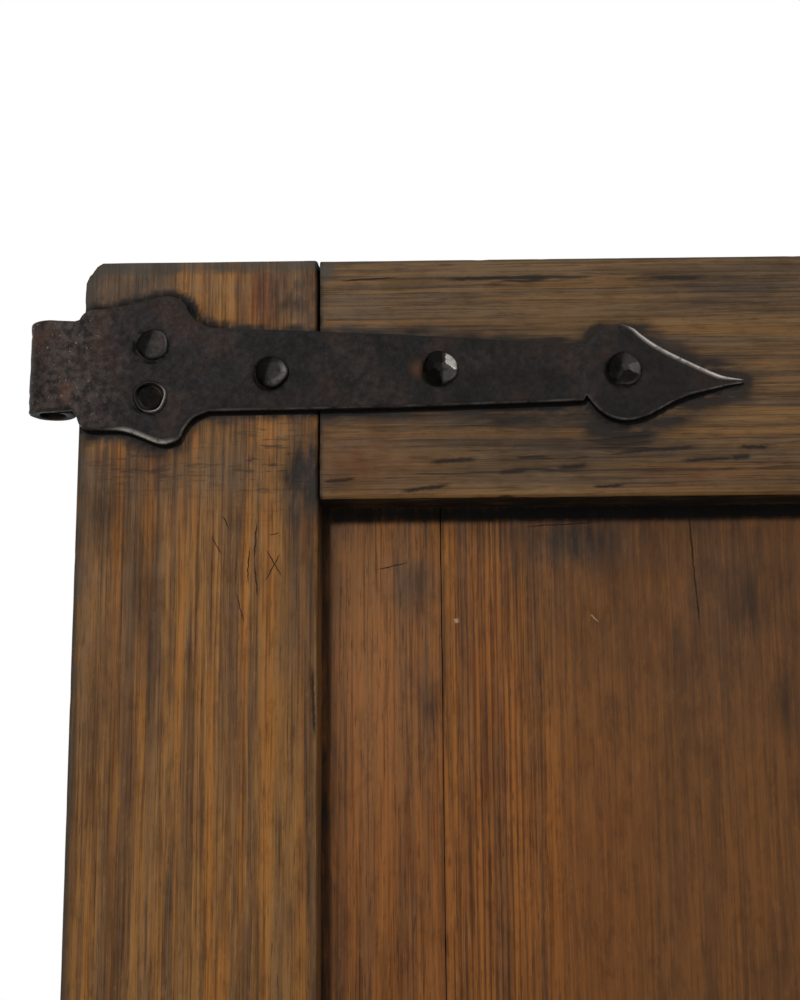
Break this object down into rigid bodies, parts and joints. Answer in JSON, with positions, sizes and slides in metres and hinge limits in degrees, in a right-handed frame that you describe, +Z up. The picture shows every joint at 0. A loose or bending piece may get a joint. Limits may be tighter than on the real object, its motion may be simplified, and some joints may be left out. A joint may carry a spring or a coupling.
{
  "type": "panel door leaf",
  "caption": "Old framed softwood door leaf with flat recessed panels, forged strap hinges with open rolled eyes, and a thumb latch on the lock stile.",
  "frame": {"origin": "on the hinge axis, at the underside of the lower strap hinge's eye, where it sits on its pintle's shoulder", "axes": "+Z up along the hinge axis, +X across the leaf from the hinge edge to the lock edge, -Y out of the face that carries the straps"},
  "size_m": [0.863, 0.1263, 1.98],
  "materials": {
    "stile_wood": "aged pine, dark waxed patina, vertical grain",
    "rail_wood": "aged pine, dark waxed patina, level grain",
    "panel_wood": "aged pine, reddish patina, vertical grain",
    "wedge_wood": "end of a softwood wedge, dulled",
    "forged_iron": "forged iron, dark brown-black, satin with rust tints",
    "nail_iron": "wrought iron nail, dark, rubbed brighter on its facets"
  },
  "bodies": {
    "leaf": {"hinge_stile": "stile_wood", "lock_stile": "stile_wood", "top_rail": "rail_wood", "lock_rail": "rail_wood", "bottom_rail": "rail_wood", "upper_panel_board_1": "panel_wood", "upper_panel_board_2": "panel_wood", "upper_panel_board_3": "panel_wood", "lower_panel_board_1": "panel_wood", "lower_panel_board_2": "panel_wood", "lower_panel_board_3": "panel_wood", "top_rail_wedges": "wedge_wood", "lock_rail_wedges": "wedge_wood", "bottom_rail_wedges": "wedge_wood", "upper_strap_hinge": "forged_iron", "lower_strap_hinge": "forged_iron", "upper_hinge_nails": "nail_iron", "lower_hinge_nails": "nail_iron", "latch_bar_plate": "forged_iron", "latch_bar_rivet": "nail_iron", "latch_staple": "forged_iron", "latch_nails": "nail_iron", "thumb_lever_pin": "nail_iron", "latch_handle": "forged_iron", "latch_handle_nails": "nail_iron"},
    "latch_bar": {"latch_bar": "forged_iron", "latch_bar_knob": "nail_iron"},
    "thumb_lever": {"thumb_lever": "forged_iron"}
  },
  "joints": [
    {"name": "bar_lift", "type": "hinge", "parent": "leaf", "child": "latch_bar", "pos_m": [0.678, -0.0116, 0.8858], "axis": [0, -1, 0], "range_deg": [0, 5]},
    {"name": "thumb_press", "type": "hinge", "parent": "leaf", "child": "thumb_lever", "pos_m": [0.773, 0.0502, 0.8715], "axis": [-1, 0, 0], "range_deg": [0, 7]}
  ],
  "couplings": [
    {"joint": "thumb_press", "follows": "bar_lift", "ratio": 1.4}
  ]
}
